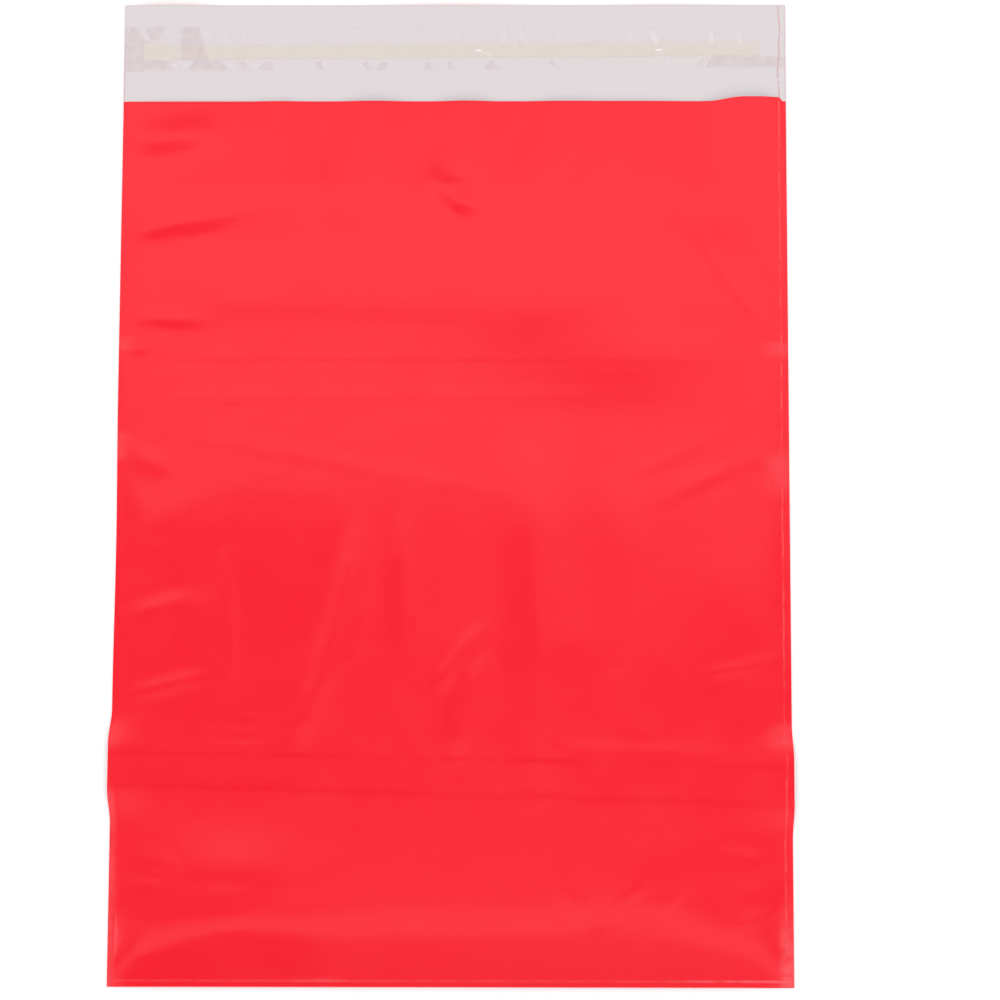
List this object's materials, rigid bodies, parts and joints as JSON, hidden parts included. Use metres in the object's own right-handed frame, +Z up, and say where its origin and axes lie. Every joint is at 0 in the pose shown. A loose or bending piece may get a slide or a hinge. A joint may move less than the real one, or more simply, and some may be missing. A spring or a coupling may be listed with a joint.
{
  "type": "poly mailer bag",
  "caption": "Flat plastic film shipping bag with welded sides, folded bottom, open mouth and a flap that carries an adhesive strip under a release liner.",
  "frame": {"origin": "centre of the bounding box at its lowest level, which is the underside of the back wall as the bag lies on a surface", "axes": "+Y along the bag from the bottom fold to the flap, +Z up out of the front wall, +X across the bag to the right as seen from the front with the flap at the top"},
  "size_m": [0.305, 0.452, 0.0106],
  "materials": {
    "bag_film": "satin film, red outside and pale grey inside",
    "adhesive": "cream hot-melt adhesive, slightly tacky sheen",
    "liner_film": "translucent release film"
  },
  "bodies": {
    "root": {"mailer_bag": "bag_film", "adhesive_strip": "adhesive", "release_liner": "liner_film"}
  },
  "joints": []
}
